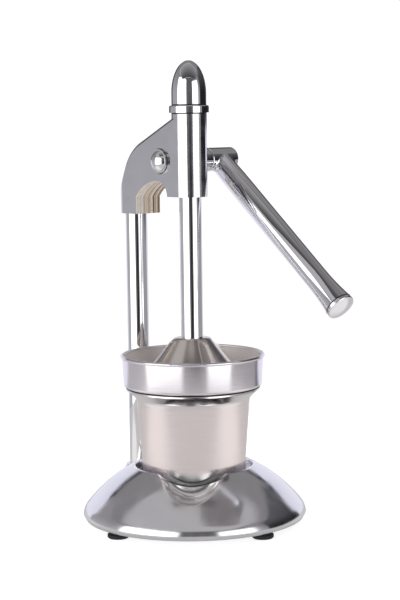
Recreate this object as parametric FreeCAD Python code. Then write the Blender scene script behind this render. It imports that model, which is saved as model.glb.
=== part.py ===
import FreeCAD, Part
import math
import os

from FreeCAD import Vector

# Hand-operated citrus press. Millimetres and degrees throughout.
# The origin is on the press axis at table level. +Z is up, the column stands on +Y and the
# lever hangs over -Y. The shaft runs along X, with the lever's hub at its +X end.

X_AXIS = Vector(1, 0, 0)
Y_AXIS = Vector(0, 1, 0)
Z_AXIS = Vector(0, 0, 1)
ORIGIN = Vector(0, 0, 0)

# ---- layout -------------------------------------------------------------------------------
SHAFT_HEIGHT = 306.5
SEAT_HEIGHT = 25.5            # the cup stands on this face of the base
COLUMN_CLEARANCE = 0.8        # strainer's rim to column
BASE_MARGIN = 23.5            # column axis to the base's edge
FRONT_TURN = -44.0            # base front, turned about the press axis from the lever's side

# ---- cup ----------------------------------------------------------------------------------
CUP_BASE_RADIUS = 41.9
CUP_TAPER = 0.0765            # gain in radius per millimetre of height
CUP_HEIGHT = 91.4
CUP_WALL = 1.0
CUP_CORNER = 2.0
CUP_NECK_DROP = 12.3          # from the rim's top to where the side bends outwards
CUP_FLARE_ANGLE = 45.5
CUP_FLARE_RADIUS = 6.0
CUP_RIM_HEIGHT = 3.0
CUP_RIM_PROUD = 1.5           # rolled rim outside the flare
CUP_RIM_WIDTH = 2.6
CUP_RIM_EDGE = 0.7            # bevel of the rolled rim

# ---- strainer -----------------------------------------------------------------------------
BOWL_OVERHANG = 1.8           # bowl's side outside the cup's rim
BOWL_TAPER = 1.1              # bowl's side leans out by this
BOWL_RISE = 27.4              # from the cup's rim to the bowl's rim
BOWL_RIM_BEAD = 1.5
BOWL_WALL = 1.2
BOWL_CORNER = 2.6
BOWL_LEDGE_GAP = 1.8          # bowl's ledge to the cup's mouth
BOWL_SINK = 7.2               # floor's top under the cup's rim
BOWL_NECK_GAP = 2.4           # bowl's floor to the cup's mouth at that depth
BOWL_FLOOR_RING = 4.5         # width of the ring that carries the cone
CONE_FLANGE_GAP = 0.4
CONE_SHEET = 1.2
CONE_BASE_RADIUS = 36.5
CONE_RISE = 29.3              # tip over the bowl's floor
CONE_TOP_RADIUS = 7.0
CONE_TIP_ROUNDING = 2.0
CONE_RIBS = 8
CONE_RIB_PROUD = 1.8
CONE_RIB_WIDTH = 7.0
DRAIN_HOLES = 24
DRAIN_HOLE_RADIUS = 1.6
SLIT_WIDTH = 1.8
SLIT_FOOT = 3.0               # slits start this far over the plate
SLIT_TOP = 12.0               # and end this far under the tip

# ---- presser ------------------------------------------------------------------------------
PRESSER_REST_GAP = 19.4       # presser's crown over the cone's tip, with the lever down
CROWN_ROUNDING = 13.4
CROWN_LAND = 1.2              # flat round the rod
PRESSER_SLOPE = 48.0
PRESSER_SWEEP = 4.0           # the side line is this much steeper above and flatter below
PRESSER_RADIUS = 45.6
PRESSER_SKIRT = 2.0
PRESSER_WALL = 3.2
CROWN_WALL = 6.8
FACET_DEPTH = 1.7             # broad facets sink this far under the ribs
RIB_WIDTH = 22.5
RIB_COUNT = 4
RIB_TURN = -14.5
ROD_STUD_RADIUS = 5.0
ROD_STUD_LENGTH = 13.0
PRESSER_NUT_FLATS = 16.0
PRESSER_NUT_HEIGHT = 6.5
PRESSER_WASHER_RADIUS = 9.0
PRESSER_WASHER_HEIGHT = 1.2

# ---- base casting -------------------------------------------------------------------------
BASE_UNDERSIDE = 5.5          # height of the open lower edge above the table
BASE_WIDEST = 9.0             # height of the largest diameter
BASE_EDGE_INSET = 1.8         # how far the lower edge draws in
BASE_WALL = 3.0
HAUNCH_INSET = 3.5            # where the dome turns down into the lip
HAUNCH_HEIGHT = 16.9
HAUNCH_SLOPE = 57.0
HAUNCH_BULGE = 0.65
DOME_BULGE = 2.7              # crown of the dome's long arc over its chord
RIM_SLOPE = 30.0
RIM_MARGIN = 9.7              # top edge round the seat, outside the cup's foot
RIM_RISE = 23.9               # that edge over the seat
RIM_LAND = 1.4
SEAT_CLEARANCE = 1.2
NOTCH_HALF_WIDTH = 32.5       # front notch: its rounded shoulders end this far either side of its line
NOTCH_FLOOR_RISE = 5.5        # its floor over the seat
NOTCH_FLOOR_RADIUS = 26.0     # round of that floor
NOTCH_WALL_PLACE = 7.3        # the wall left between seat and notch, outside the cup's foot
NOTCH_CORNER = 6.0            # round between that wall and the floor
NOTCH_EDGE_RISE = 15.1        # lowest point of the wall's edge over the seat
NOTCH_EDGE_RADIUS = 49.0      # round of that edge
BOSS_TOP = 39.5               # column boss
BOSS_WALL = 3.0
BOSS_FOOT_WALL = 8.5
BOSS_FOOT_HEIGHT = 27.0
SOCKET_FLOOR = 23.0
BOSS_FLOOR_WALL = 5.5

# ---- feet ---------------------------------------------------------------------------------
FOOT_EDGE_GAP = 2.0           # pad in from the base's largest radius
FOOT_RADIUS = 9.0
FOOT_PAD_HEIGHT = 3.2
FOOT_EDGE = 1.0               # bevel of the sole
FOOT_STEM_INSET = 2.0
FOOT_HEIGHT = 9.0
FOOT_BOSS_RADIUS = 6.0
FOOT_SCREW_RADIUS = 1.8
FOOT_SCREW_BITE = 7.0
FOOT_SCREW_HEAD_RADIUS = 3.8
FOOT_SCREW_HEAD_HEIGHT = 2.4
FOOT_SCREW_DEPTH = 4.2        # underside of the screw's head, over the sole
FOOT_RECESS_GAP = 0.8
FEET = {"foot_front": 0, "foot_right": 90, "foot_rear": 180, "foot_left": 270}

# ---- column -------------------------------------------------------------------------------
COLUMN_RADIUS = 9.5
COLUMN_WALL = 2.0
COLUMN_GRIP = 14.0            # length inside the head's leg
INSERT_LENGTH = 22.0
COLUMN_BOLT_RADIUS = 3.0
COLUMN_BOLT_BITE = 14.0
COLUMN_BOLT_HEAD_RADIUS = 5.0
COLUMN_BOLT_HEAD_HEIGHT = 4.6
COLUMN_WASHER_OVERLAP = 2.3
COLUMN_WASHER_HEIGHT = 1.2
BOLT_POCKET_GAP = 0.5

# ---- rod, rack and pinion -----------------------------------------------------------------
ROD_RADIUS = 9.5
ROD_ABOVE_SHAFT = 31.5
ROD_RUNNING_FIT = 0.05
ROD_NOSE = 5.0
MODULE = 1.25
PINION_TEETH = 21
PRESSURE_ANGLE = 20.0
BACKLASH = 0.15               # taken off each tooth's thickness
DEDENDUM_FACTOR = 1.25
PINION_WIDTH = 12.0
RACK_PITCH_DEPTH = 1.125      # rack's pitch line under the rod's surface
RACK_BELOW = 51.5             # toothed length under and over the shaft
RACK_ABOVE = 11.5
FLANK_STEPS = 3

# ---- head casting -------------------------------------------------------------------------
GUIDE_WALL = 2.7              # rod bushes
TUBE_WALL = 2.5               # metal round the bushes
TUBE_BORE_GAP = 0.9           # bore round the rod between the bushes
TUBE_BELOW = 29.7             # tube's ends from the shaft
TUBE_ABOVE = 40.3
GUIDE_RECESS = 0.5
LOWER_GUIDE_LENGTH = 12.0
UPPER_GUIDE_LENGTH = 16.0
UPPER_GUIDE_DROP = 6.3        # its top under the tube's end
LEG_WALL = 3.8                # metal round the column
LEG_BELOW = 45.5
SLOPE_ANGLE = 25.0            # top edge of the web, falling from the tube
SLOPE_DROP = 1.0              # that edge over the press axis, under the tube's end
SHOULDER_RADIUS = 42.4
SHOULDER_LEAD = 21.0          # the slope turns down this far before the column
BACK_ANGLE = 65.0
WEB_ROUNDING = 3.5
ARCH_BELOW = 16.5             # top of the arch under the shaft
ARCH_FRONT_RADIUS = 13.4
ARCH_TUBE_OVERLAP = 1.6       # arch's front foot inside the tube's surface
ARCH_REAR_DROP = 14.53
ARCH_LEG_DEPTH = 16.0         # leg's inner face before the column's axis
CAVITY_CLEARANCE = 0.5        # round the pinion
PINION_SIDE_GAP = 1.0
SPOT_PROUD = 0.4              # machined spot faces stand proud of the web
NUT_SPOT_MARGIN = 2.6
HEAD_SCREW_RISE = 5.5         # over the leg's lower end

# ---- cap ----------------------------------------------------------------------------------
COLLAR_PROUD = 1.9
COLLAR_HEIGHT = 6.0
COLLAR_BEVEL = 0.8
CAP_INSET = 0.2
CAP_SHOULDER_RISE = 16.4      # the dome starts this far over the tube
CAP_DOME_RISE = 26.8
CAP_WALL = 2.4
CAP_SPIGOT_LENGTH = 5.5
CAP_ROD_ROOM = 0.8
CAP_STEPS = 6

# ---- shaft, bushes, housing and nut -------------------------------------------------------
SHAFT_RADIUS = 6.0
SHAFT_RUNNING_FIT = 0.05
SHAFT_BUSH_WALL = 2.4
HOUSING_WALL = 1.6
HOUSING_FLANGE_PROUD = 1.325  # outside the pinion's cavity
HOUSING_FLANGE = 2.6
HOUSING_LENGTH = 20.5
PIN_RADIUS = 1.5
PIN_SHORT = 0.4               # pin's ends below the tooth roots
NUT_FLANGE_OVERLAP = 1.9
NUT_FLANGE = 1.5
NUT_DOME_INSET = 1.5
NUT_DOME_HEIGHT = 4.6
NUT_GAP = 0.3
NUT_STUD_RADIUS = 4.0
NUT_BITE = 3.6
WASHER_THICKNESS = 1.2
WASHER_GAP = 0.3

# ---- lever --------------------------------------------------------------------------------
LEVER_DROP = 39.2             # below the horizontal at rest
HUB_WALL = 4.2
HUB_LENGTH = 29.5
HUB_END_WALL = 4.0
HUB_ROUNDING = 1.2
ARM_PLACE = 14.8              # arm axis from the hub's inner end
ARM_LENGTH = 184.0
ARM_ROOT_INSET = 1.0          # arm's root, narrower than the hub
ARM_RADIUS = 10.0
ARM_SWELL_END = 40.0
ARM_SWELL_BULGE = 0.2
ARM_FLARE_LENGTH = 32.0
ARM_FLARE = 2.2
ARM_FLARE_HOLLOW = 0.55
ARM_WALL = 1.6
ARM_BORE_START = 22.0
ARM_FILLET = 3.0
PLUG_GAP = 0.8
PLUG_RIM = 3.0
PLUG_CROWN = 2.4
PLUG_ROUNDING = 1.0
PLUG_SPIGOT = 8.0
SET_SCREW_RADIUS = 2.5
SET_SCREW_SHORT = 0.6
HEX_SOCKET = 2.5
HEX_SOCKET_DEPTH = 2.0

# ---- worked out ---------------------------------------------------------------------------
CUP_TOP = SEAT_HEIGHT + CUP_HEIGHT
BOWL_FLOOR = CUP_TOP - BOWL_SINK
BOWL_RIM_TOP = CUP_TOP + BOWL_RISE
CONE_TOP = BOWL_FLOOR + CONE_RISE
PRESSER_TOP = CONE_TOP + PRESSER_REST_GAP
ROD_TOP = SHAFT_HEIGHT + ROD_ABOVE_SHAFT
TUBE_BOTTOM = SHAFT_HEIGHT - TUBE_BELOW
TUBE_TOP = SHAFT_HEIGHT + TUBE_ABOVE
CAP_SHOULDER = TUBE_TOP + CAP_SHOULDER_RISE
OVERALL_HEIGHT = CAP_SHOULDER + CAP_DOME_RISE
LOWER_GUIDE_TOP = TUBE_BOTTOM + GUIDE_RECESS + LOWER_GUIDE_LENGTH
UPPER_GUIDE_TOP = TUBE_TOP - UPPER_GUIDE_DROP
LEG_BOTTOM = SHAFT_HEIGHT - LEG_BELOW
ARCH_TOP = SHAFT_HEIGHT - ARCH_BELOW
COLUMN_TOP = LEG_BOTTOM + COLUMN_GRIP
RIM_HEIGHT = SEAT_HEIGHT + RIM_RISE
RIM_RADIUS = CUP_BASE_RADIUS + RIM_MARGIN
BOSS_BOTTOM = SOCKET_FLOOR - BOSS_FLOOR_WALL
FOOT_RECESS_RADIUS = FOOT_SCREW_HEAD_RADIUS + FOOT_RECESS_GAP
COLUMN_WASHER_RADIUS = COLUMN_BOLT_RADIUS + COLUMN_WASHER_OVERLAP

BUSH_SEAT_RADIUS = ROD_RADIUS + GUIDE_WALL
TUBE_RADIUS = BUSH_SEAT_RADIUS + TUBE_WALL
TUBE_BORE = ROD_RADIUS + TUBE_BORE_GAP
CAP_RADIUS = TUBE_RADIUS - CAP_INSET
COLLAR_RADIUS = TUBE_RADIUS + COLLAR_PROUD
LEG_RADIUS = COLUMN_RADIUS + LEG_WALL
SHAFT_BUSH_RADIUS = SHAFT_RADIUS + SHAFT_BUSH_WALL
HOUSING_RADIUS = SHAFT_BUSH_RADIUS + HOUSING_WALL
HUB_RADIUS = SHAFT_RADIUS + HUB_WALL
ARM_ROOT_RADIUS = HUB_RADIUS - ARM_ROOT_INSET
ARM_END_RADIUS = ARM_RADIUS + ARM_FLARE
ARM_FLARE_START = ARM_LENGTH - ARM_FLARE_LENGTH

PITCH_RADIUS = MODULE * PINION_TEETH / 2
PINION_TIP = PITCH_RADIUS + MODULE
PINION_ROOT = PITCH_RADIUS - DEDENDUM_FACTOR * MODULE
CAVITY_RADIUS = PINION_TIP + CAVITY_CLEARANCE
CAVITY_HALF = PINION_WIDTH / 2 + PINION_SIDE_GAP
HOUSING_FLANGE_RADIUS = CAVITY_RADIUS + HOUSING_FLANGE_PROUD
RACK_PITCH = math.pi * MODULE
RACK_LINE = ROD_RADIUS - RACK_PITCH_DEPTH
SHAFT_OFFSET = RACK_LINE + PITCH_RADIUS
SHAFT_CENTRE = Vector(0, SHAFT_OFFSET, SHAFT_HEIGHT)
FACE_X = TUBE_RADIUS + SPOT_PROUD
HOUSING_END = FACE_X + HOUSING_LENGTH
HUB_START = HOUSING_END + WASHER_THICKNESS + 2 * WASHER_GAP
HUB_BORE_END = HUB_START + HUB_LENGTH - HUB_END_WALL
ARM_X = HUB_START + ARM_PLACE

DIAGONAL = math.sqrt(0.5)     # middle of a quarter round, as a share of its radius


# ---- small tools --------------------------------------------------------------------------
def rotate(shape, point, axis, angle):
    turned_shape = shape.copy()
    turned_shape.rotate(point, axis, angle)
    return turned_shape


def wire_through(start, steps, place):
    """Closed face outline: a step of one point is a line to it, of two an arc through the first."""
    edges = []
    here = start
    for step in list(steps) + [(start,)]:
        end = step[-1]
        if math.dist(here, end) < 1e-6:
            continue
        if len(step) == 1:
            edges.append(Part.LineSegment(place(here), place(end)).toShape())
        else:
            edges.append(Part.Arc(place(here), place(step[0]), place(end)).toShape())
        here = end
    return Part.Face(Part.Wire(edges))


def turn(start, *steps, angle=360.0):
    """Revolve an outline of (radius, height) points about the Z axis."""
    face = wire_through(start, steps, lambda p: Vector(p[0], 0, p[1]))
    return face.revolve(ORIGIN, Z_AXIS, angle)


def plate(start, *steps, half_width):
    """Extrude an outline of (Y, Z) points to both sides of X = 0."""
    face = wire_through(start, steps, lambda p: Vector(-half_width, p[0], p[1]))
    return face.extrude(Vector(2 * half_width, 0, 0))


def rod_z(radius, low, high, centre=ORIGIN):
    return Part.makeCylinder(radius, high - low, centre + Vector(0, 0, low), Z_AXIS)


def rod_x(radius, low, high):
    """Cylinder on the shaft's axis between two X places."""
    return Part.makeCylinder(radius, high - low, SHAFT_CENTRE + Vector(low, 0, 0), X_AXIS)


def ring_z(outer, inner, low, high, centre=ORIGIN):
    return rod_z(outer, low, high, centre).cut(rod_z(inner, low, high, centre))


def ring_x(outer, inner, low, high):
    return rod_x(outer, low, high).cut(rod_x(inner, low, high))


def around(shape, count, start=0.0):
    """Copies of a shape, evenly spaced round the press axis."""
    return [rotate(shape, ORIGIN, Z_AXIS, start + i * 360.0 / count) for i in range(count)]


def bulge_point(start, end, rise):
    """Middle point of an arc that stands `rise` to the left of its chord."""
    length = math.dist(start, end)
    across = (-(end[1] - start[1]) / length, (end[0] - start[0]) / length)
    return tuple((start[i] + end[i]) / 2 + rise * across[i] for i in range(2))


def crown_point(radius, base, rise):
    """Middle point of a crown's arc, from its edge to its summit on the axis."""
    ball = (radius ** 2 + rise ** 2) / (2 * rise)
    half = math.asin(radius / ball) / 2
    return (ball * math.sin(half), base + rise - ball * (1 - math.cos(half)))


def round_corner(edge, top, size):
    """Middle point of a quarter round between an upright side at `edge` and a level face at `top`."""
    return (edge - size * (1 - DIAGONAL), top - size * (1 - DIAGONAL))


def hexagon_prism(flats, height, centre, axis):
    radius = flats / math.sqrt(3)
    corners = [Vector(radius * math.cos(math.radians(60 * i)),
                      radius * math.sin(math.radians(60 * i)), 0) for i in range(7)]
    prism = Part.Face(Part.makePolygon(corners)).extrude(Vector(0, 0, height))
    prism.Placement = FreeCAD.Placement(centre, FreeCAD.Rotation(Z_AXIS, axis))
    return prism


# ---- cup ----------------------------------------------------------------------------------
def cup_radius(height):
    return CUP_BASE_RADIUS + CUP_TAPER * (height - SEAT_HEIGHT)


def cup_bend(inset):
    """Arc from the tapered side into the flare: its start, middle and end."""
    lean = math.atan(CUP_TAPER)
    flare = math.radians(CUP_FLARE_ANGLE)
    neck_height = CUP_TOP - CUP_NECK_DROP
    neck = (cup_radius(neck_height) - inset, neck_height)
    radius = CUP_FLARE_RADIUS + inset
    bend = [(neck[0] + radius * (math.cos(lean) - math.cos(angle)),
             neck[1] + radius * (math.sin(angle) - math.sin(lean))) for angle in ((lean + flare) / 2, flare)]
    return neck, bend[0], bend[1]


def cup_mouth(inset, height):
    """Radius of the flare at a height over the bend."""
    end = cup_bend(inset)[2]
    return end[0] + (height - end[1]) * math.tan(math.radians(CUP_FLARE_ANGLE))


CUP_RIM_RADIUS = cup_mouth(0, CUP_TOP - CUP_RIM_HEIGHT) + CUP_RIM_PROUD
CUP_MOUTH_RADIUS = CUP_RIM_RADIUS - CUP_RIM_WIDTH
BOWL_BOTTOM_RADIUS = CUP_RIM_RADIUS + BOWL_OVERHANG
BOWL_TOP_RADIUS = BOWL_BOTTOM_RADIUS + BOWL_TAPER
BOWL_LEDGE_RADIUS = CUP_MOUTH_RADIUS - BOWL_LEDGE_GAP
BOWL_FLOOR_RADIUS = cup_mouth(CUP_WALL, BOWL_FLOOR - BOWL_WALL) - BOWL_NECK_GAP
BOWL_OPENING_RADIUS = BOWL_FLOOR_RADIUS - BOWL_FLOOR_RING
COLUMN_OFFSET = BOWL_TOP_RADIUS + BOWL_RIM_BEAD + COLUMN_CLEARANCE + COLUMN_RADIUS
COLUMN_AXIS = Vector(0, COLUMN_OFFSET, 0)
BASE_RADIUS = COLUMN_OFFSET + BASE_MARGIN
FOOT_PITCH = BASE_RADIUS - FOOT_RADIUS - FOOT_EDGE_GAP


# ---- base ---------------------------------------------------------------------------------
def dome(inset):
    """Solid dome, `inset` under the casting's skin. A sunk one runs out through the open underside."""
    bottom = BASE_UNDERSIDE - inset
    slope = math.radians(HAUNCH_SLOPE)
    edge = (BASE_RADIUS - max(BASE_EDGE_INSET, inset), bottom)
    widest = (BASE_RADIUS - inset, BASE_WIDEST)
    haunch = (BASE_RADIUS - HAUNCH_INSET - inset * math.sin(slope), HAUNCH_HEIGHT - inset * math.cos(slope))
    rim = (RIM_RADIUS, RIM_HEIGHT - inset / math.cos(math.radians(RIM_SLOPE)))
    return turn((0, bottom), (edge,), (widest,),
                (bulge_point(widest, haunch, -HAUNCH_BULGE), haunch),
                (bulge_point(haunch, rim, -DOME_BULGE), rim),
                ((0, rim[1]),))


def seat_well(grow):
    """The funnel that the cup stands in, as a cutter."""
    floor_radius = CUP_BASE_RADIUS + SEAT_CLEARANCE + grow
    mouth_radius = RIM_RADIUS - RIM_LAND + grow
    gain = (mouth_radius - floor_radius) / RIM_RISE
    floor = SEAT_HEIGHT - grow
    top = RIM_HEIGHT + BASE_WALL
    return turn((0, floor), ((floor_radius, floor),),
                ((floor_radius + gain * (top - floor), top),), ((0, top),))


def is_notch_corner(edge, wall_radius):
    """True for the edges where the wall round the seat stands on the notch's floor and shoulders."""
    centre = edge.valueAt((edge.FirstParameter + edge.LastParameter) / 2)
    on_wall = all(abs(math.hypot(p.x, p.y) - wall_radius) < 0.01 for p in edge.discretize(5))
    upright = abs(edge.Vertexes[0].X - edge.Vertexes[-1].X) < 0.01
    return on_wall and not upright and centre.z < RIM_HEIGHT


def notch_scoop(grow):
    """Channel out through the dome's front, between rounded shoulders. A wall stays round the seat."""
    floor = SEAT_HEIGHT + NOTCH_FLOOR_RISE
    depth = RIM_HEIGHT - floor
    reach = (NOTCH_HALF_WIDTH ** 2 + depth ** 2) / (2 * depth)
    share = (NOTCH_FLOOR_RADIUS + grow) / reach
    join = (NOTCH_HALF_WIDTH * share, floor + NOTCH_FLOOR_RADIUS - (reach - depth) * share)
    shoulder = reach - NOTCH_FLOOR_RADIUS
    rounding = shoulder - grow
    tilt = math.asin(NOTCH_HALF_WIDTH / reach) / 2
    middle = (NOTCH_HALF_WIDTH - rounding * math.sin(tilt), RIM_HEIGHT - shoulder + rounding * math.cos(tilt))
    land = RIM_HEIGHT - grow
    top = RIM_HEIGHT + shoulder
    face = wire_through(join,
                        [(middle, (NOTCH_HALF_WIDTH, land)),
                         ((NOTCH_HALF_WIDTH, top),), ((-NOTCH_HALF_WIDTH, top),),
                         ((-NOTCH_HALF_WIDTH, land),),
                         ((-middle[0], middle[1]), (-join[0], join[1])),
                         ((0, floor - grow), join)],
                        lambda p: Vector(p[0], 0, p[1]))
    wall_radius = CUP_BASE_RADIUS + NOTCH_WALL_PLACE - grow
    channel = face.extrude(Vector(0, -BASE_RADIUS, 0)).cut(rod_z(wall_radius, 0, 2 * top))
    corner = [edge for edge in channel.Edges if is_notch_corner(edge, wall_radius)]
    return rotate(channel.makeFillet(NOTCH_CORNER + grow, corner), ORIGIN, Z_AXIS, FRONT_TURN)


def notch_edge():
    """Rounds the top of the wall between seat and notch, as seen from the front."""
    height = SEAT_HEIGHT + NOTCH_EDGE_RISE + NOTCH_EDGE_RADIUS
    trim = Part.makeCylinder(NOTCH_EDGE_RADIUS, BASE_RADIUS, Vector(0, 0, height), Vector(0, -1, 0))
    return rotate(trim, ORIGIN, Z_AXIS, FRONT_TURN)


def foot_place(turn_angle):
    angle = math.radians(turn_angle)
    return Vector(FOOT_PITCH * math.sin(angle), -FOOT_PITCH * math.cos(angle), 0)


def column_boss():
    top_radius = COLUMN_RADIUS + BOSS_WALL
    foot_radius = COLUMN_RADIUS + BOSS_FOOT_WALL
    foot_under = BOSS_FOOT_HEIGHT - BASE_WALL
    boss = turn((0, BOSS_BOTTOM), ((top_radius, BOSS_BOTTOM),), ((top_radius, foot_under),),
                ((foot_radius, foot_under),), ((foot_radius, BOSS_FOOT_HEIGHT),),
                ((top_radius, BOSS_TOP),), ((0, BOSS_TOP),))
    boss.translate(COLUMN_AXIS)
    return boss


def base_casting():
    outside = dome(0)
    hollow = dome(BASE_WALL).cut([seat_well(BASE_WALL), notch_scoop(BASE_WALL)])
    casting = outside.cut([hollow, seat_well(0), notch_scoop(0), notch_edge()])
    posts = [rod_z(FOOT_BOSS_RADIUS, FOOT_HEIGHT, RIM_HEIGHT, foot_place(a)).common(outside)
             for a in FEET.values()]
    casting = casting.fuse(posts + [column_boss()])
    bores = [rod_z(FOOT_SCREW_RADIUS, 0, FOOT_SCREW_DEPTH + FOOT_SCREW_BITE, foot_place(a))
             for a in FEET.values()]
    bores.append(rod_z(COLUMN_RADIUS, SOCKET_FLOOR, OVERALL_HEIGHT, COLUMN_AXIS))
    bores.append(rod_z(COLUMN_BOLT_RADIUS, 0, OVERALL_HEIGHT, COLUMN_AXIS))
    bores.append(rod_z(COLUMN_WASHER_RADIUS + BOLT_POCKET_GAP, 0, BOSS_BOTTOM, COLUMN_AXIS))
    return casting.cut(bores).removeSplitter()


def foot(turn_angle):
    stem_radius = FOOT_RADIUS - FOOT_STEM_INSET
    pad = turn((0, 0), ((FOOT_RADIUS - FOOT_EDGE, 0),), ((FOOT_RADIUS, FOOT_EDGE),),
               ((FOOT_RADIUS, FOOT_PAD_HEIGHT),), ((stem_radius, FOOT_PAD_HEIGHT),),
               ((stem_radius, FOOT_HEIGHT),), ((0, FOOT_HEIGHT),))
    pad = pad.cut([rod_z(FOOT_RECESS_RADIUS, 0, FOOT_SCREW_DEPTH), rod_z(FOOT_SCREW_RADIUS, 0, FOOT_HEIGHT)])
    pad.translate(foot_place(turn_angle))
    return pad


def foot_screws():
    """Socket-head screws, up through the feet into the casting's bosses."""
    head_low = FOOT_SCREW_DEPTH - FOOT_SCREW_HEAD_HEIGHT
    screws = []
    for turn_angle in FEET.values():
        place = foot_place(turn_angle)
        head = rod_z(FOOT_SCREW_HEAD_RADIUS, head_low, FOOT_SCREW_DEPTH, place)
        shank = rod_z(FOOT_SCREW_RADIUS, head_low, FOOT_SCREW_DEPTH + FOOT_SCREW_BITE, place)
        socket = hexagon_prism(HEX_SOCKET, FOOT_SCREW_HEAD_HEIGHT / 2, place + Vector(0, 0, head_low), Z_AXIS)
        screws.append(head.fuse(shank).cut(socket).removeSplitter())
    return Part.makeCompound(screws)


# ---- column -------------------------------------------------------------------------------
def column():
    return ring_z(COLUMN_RADIUS, COLUMN_RADIUS - COLUMN_WALL, SOCKET_FLOOR, COLUMN_TOP, COLUMN_AXIS)


def column_insert():
    """Threaded plug in the tube's foot, for the bolt."""
    top = SOCKET_FLOOR + INSERT_LENGTH
    return ring_z(COLUMN_RADIUS - COLUMN_WALL, COLUMN_BOLT_RADIUS, SOCKET_FLOOR, top, COLUMN_AXIS)


def column_washer():
    return ring_z(COLUMN_WASHER_RADIUS, COLUMN_BOLT_RADIUS,
                  BOSS_BOTTOM - COLUMN_WASHER_HEIGHT, BOSS_BOTTOM, COLUMN_AXIS)


def column_bolt():
    """Socket-head bolt from below."""
    seat = BOSS_BOTTOM - COLUMN_WASHER_HEIGHT
    head_low = seat - COLUMN_BOLT_HEAD_HEIGHT
    head = rod_z(COLUMN_BOLT_HEAD_RADIUS, head_low, seat, COLUMN_AXIS)
    shank = rod_z(COLUMN_BOLT_RADIUS, head_low, SOCKET_FLOOR + COLUMN_BOLT_BITE, COLUMN_AXIS)
    socket = hexagon_prism(2 * HEX_SOCKET, COLUMN_BOLT_HEAD_HEIGHT / 2,
                           COLUMN_AXIS + Vector(0, 0, head_low), Z_AXIS)
    return head.fuse(shank).cut(socket).removeSplitter()


# ---- head ---------------------------------------------------------------------------------
def head_plan():
    """Seen from above: the tube's circle and the leg's, joined by their common tangents."""
    lean = math.asin((TUBE_RADIUS - LEG_RADIUS) / COLUMN_OFFSET)
    tube_x = TUBE_RADIUS * math.cos(lean)
    tube_y = TUBE_RADIUS * math.sin(lean)
    leg_x = LEG_RADIUS * math.cos(lean)
    leg_y = COLUMN_OFFSET + LEG_RADIUS * math.sin(lean)
    face = wire_through((tube_x, tube_y),
                        [((leg_x, leg_y),), ((0, COLUMN_OFFSET + LEG_RADIUS), (-leg_x, leg_y)),
                         ((-tube_x, tube_y),), ((0, -TUBE_RADIUS), (tube_x, tube_y))],
                        lambda p: Vector(p[0], p[1], LEG_BOTTOM))
    return face.extrude(Vector(0, 0, TUBE_TOP - LEG_BOTTOM))


def web_profile():
    """Side view of the web, with the arch under it and the leg behind."""
    slope = math.radians(SLOPE_ANGLE)
    back = math.radians(BACK_ANGLE)
    slope_height = TUBE_TOP - SLOPE_DROP
    slope_end = COLUMN_OFFSET - SHOULDER_LEAD
    start = (slope_end, slope_height - slope_end * math.tan(slope))
    bend = [(start[0] + SHOULDER_RADIUS * (math.sin(a) - math.sin(slope)),
             start[1] + SHOULDER_RADIUS * (math.cos(a) - math.cos(slope))) for a in ((slope + back) / 2, back)]
    rear = COLUMN_OFFSET + LEG_RADIUS + LEG_WALL
    back_foot = bend[1][1] - (rear - bend[1][0]) * math.tan(back)
    front_foot = TUBE_RADIUS - ARCH_TUBE_OVERLAP
    crown = (front_foot + ARCH_FRONT_RADIUS, ARCH_TOP)
    front = (front_foot, ARCH_TOP - ARCH_FRONT_RADIUS)
    front_middle = (crown[0] - ARCH_FRONT_RADIUS * DIAGONAL, front[1] + ARCH_FRONT_RADIUS * DIAGONAL)
    leg_face = COLUMN_OFFSET - ARCH_LEG_DEPTH
    span = leg_face - crown[0]
    rear_radius = (span ** 2 + ARCH_REAR_DROP ** 2) / (2 * ARCH_REAR_DROP)
    rear_end = (leg_face, ARCH_TOP - ARCH_REAR_DROP)
    rear_middle = (crown[0] + span / 2,
                   ARCH_TOP - rear_radius + math.sqrt(rear_radius ** 2 - (span / 2) ** 2))
    return plate((0, slope_height), (start,), (bend[0], bend[1]), ((rear, back_foot),),
                 ((rear, LEG_BOTTOM),), ((leg_face, LEG_BOTTOM),), (rear_end,),
                 (rear_middle, crown), (front_middle, front), ((front_foot, TUBE_BOTTOM),),
                 ((0, TUBE_BOTTOM),), half_width=TUBE_RADIUS)


def head_casting():
    web = web_profile().common(head_plan())
    web = web.makeFillet(WEB_ROUNDING, [e for e in web.Edges if is_web_top_edge(e)])
    head = web.fuse([rod_z(TUBE_RADIUS, TUBE_BOTTOM, TUBE_TOP),
                     rod_x(SHAFT_BUSH_RADIUS + NUT_SPOT_MARGIN, -FACE_X, -CAVITY_HALF),
                     rod_x(HOUSING_FLANGE_RADIUS, CAVITY_HALF, FACE_X)])
    cuts = [rod_z(TUBE_BORE, 0, OVERALL_HEIGHT),
            rod_z(BUSH_SEAT_RADIUS, 0, LOWER_GUIDE_TOP),
            rod_z(BUSH_SEAT_RADIUS, UPPER_GUIDE_TOP - UPPER_GUIDE_LENGTH, OVERALL_HEIGHT),
            rod_z(COLUMN_RADIUS, 0, COLUMN_TOP, COLUMN_AXIS),
            rod_x(CAVITY_RADIUS, -CAVITY_HALF, FACE_X),
            rod_x(SHAFT_BUSH_RADIUS, -FACE_X, 0),
            head_screw_blank(SET_SCREW_SHORT)]
    return head.cut(cuts).removeSplitter()


def is_web_top_edge(edge):
    """The long edges over the slope and shoulder, and the one round the back of the leg."""
    middle = edge.valueAt((edge.FirstParameter + edge.LastParameter) / 2)
    box = edge.BoundBox
    along_side = middle.z > ARCH_TOP and abs(middle.x) > LEG_RADIUS / 2 and box.YLength > box.XLength
    round_back = box.YMax > COLUMN_OFFSET + LEG_RADIUS / 2 and middle.z > LEG_BOTTOM + 1 and box.XLength > 1
    return along_side or round_back


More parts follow.
